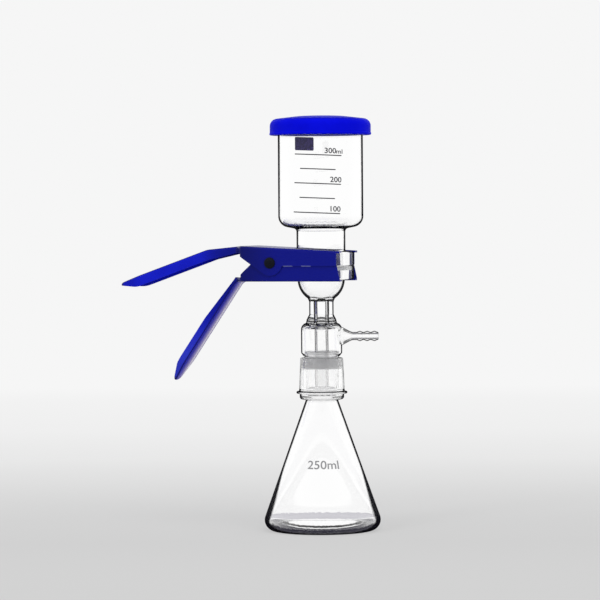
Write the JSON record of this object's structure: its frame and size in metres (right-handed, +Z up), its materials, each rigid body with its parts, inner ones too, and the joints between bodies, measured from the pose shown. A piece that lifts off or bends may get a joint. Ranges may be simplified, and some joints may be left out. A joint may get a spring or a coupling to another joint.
{
  "type": "vacuum filtration unit",
  "caption": "Glass vacuum filtration unit: conical flask, glass base with sintered support and hose arm, and a graduated funnel with cap, held together by a sprung metal clamp.",
  "frame": {"origin": "centre of the flask's foot, on the surface it stands on", "axes": "+Z up along the glass axis; the clamp's handles point towards -X; its hinge pin lies along Y"},
  "size_m": [0.2301, 0.1, 0.3572],
  "materials": {
    "clear_glass": "clear, fire-polished, ground at the joint and the flanges",
    "sintered_glass": "porous, matt",
    "blue_plastic": "smooth moulded, satin gloss",
    "blue_anodised": "blue anodised, satin",
    "dark_steel": "blackened, satin",
    "spring_steel": "drawn wire"
  },
  "bodies": {
    "stack": {"flask": "clear_glass", "glass_base": "clear_glass", "frit_disc": "sintered_glass", "funnel": "clear_glass", "lid": "blue_plastic", "clamp_lower": "blue_anodised", "pivot_pin": "dark_steel", "torsion_spring": "spring_steel"},
    "upper_jaw": {"clamp_upper": "blue_anodised"}
  },
  "joints": [
    {"name": "clamp_hinge", "type": "hinge", "parent": "stack", "child": "upper_jaw", "pos_m": [-0.037, 0, 0.231], "axis": [0, -1, 0], "range_deg": [0, 15], "stiffness_Nm_per_rad": 1.5, "springref_deg": -45.84, "deforming": ["torsion_spring"]}
  ]
}
